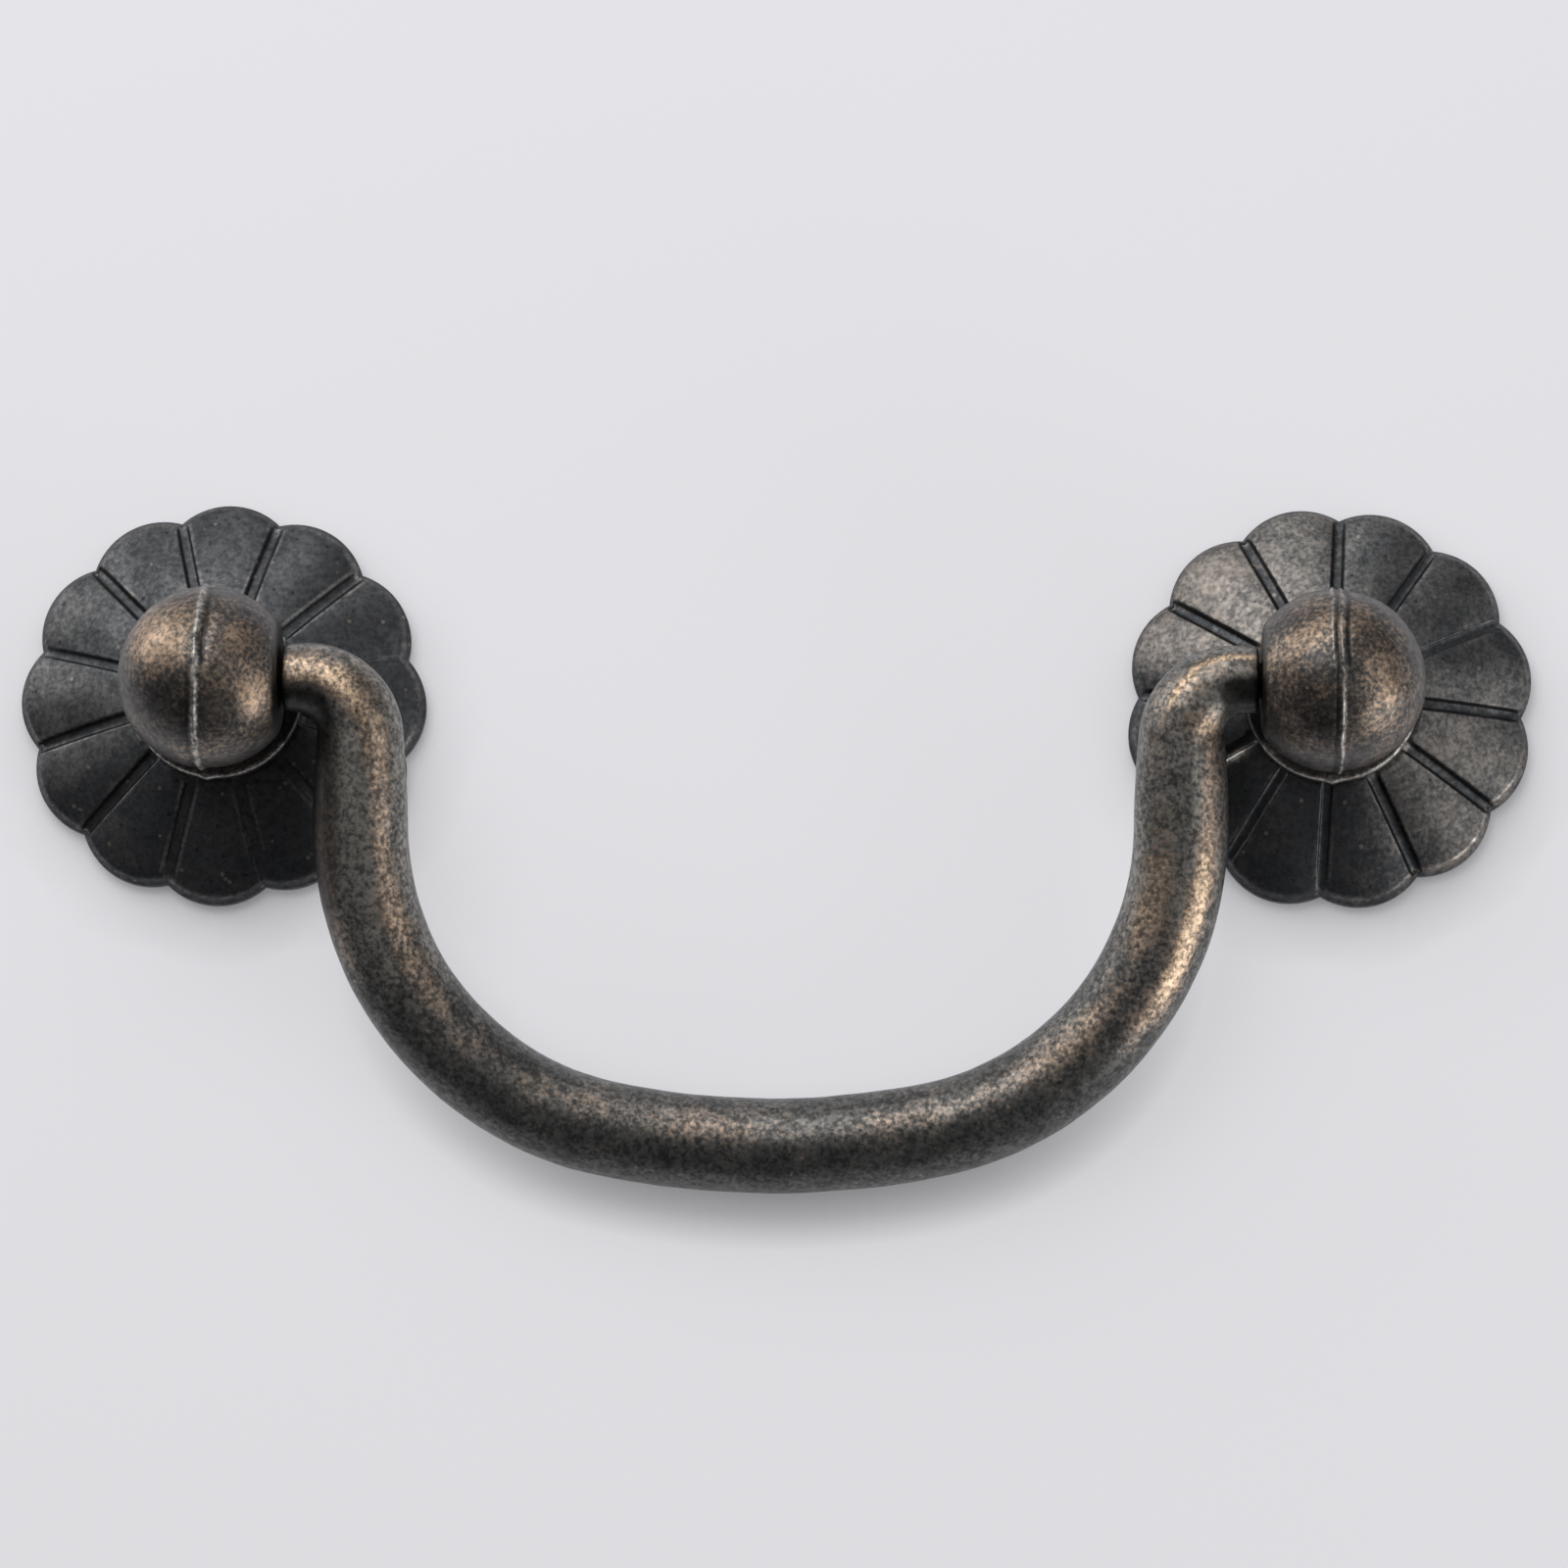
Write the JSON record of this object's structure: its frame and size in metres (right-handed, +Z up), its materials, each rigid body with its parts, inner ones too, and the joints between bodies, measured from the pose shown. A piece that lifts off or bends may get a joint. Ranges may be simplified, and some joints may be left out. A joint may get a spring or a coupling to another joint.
{
  "type": "drawer pull",
  "caption": "Drop-bail drawer pull: a swan-neck bail swings between ball posts that stand on dished petal rosettes, in an antiqued dark bronze finish.",
  "frame": {"origin": "midway between the screw holes, on the plane of the drawer front that the rosettes' backs sit on", "axes": "+X to the right as seen from in front of the drawer, +Y into the drawer, +Z up"},
  "size_m": [0.131, 0.0213, 0.0605],
  "materials": {
    "rosette_metal": "blackened antique plating with a faint worn rim",
    "post_metal": "blackened antique plating, rubbed back to copper on the high spots",
    "bail_metal": "blackened antique plating, rubbed back to copper where it is handled"
  },
  "bodies": {
    "posts": {"left_rosette": "rosette_metal", "right_rosette": "rosette_metal", "left_post": "post_metal", "right_post": "post_metal"},
    "bail": {"bail": "bail_metal"}
  },
  "joints": [
    {"name": "bail_swing", "type": "hinge", "parent": "posts", "child": "bail", "pos_m": [0, -0.01338, 0], "axis": [-1, 0, 0], "range_deg": [0, 206.7]}
  ]
}
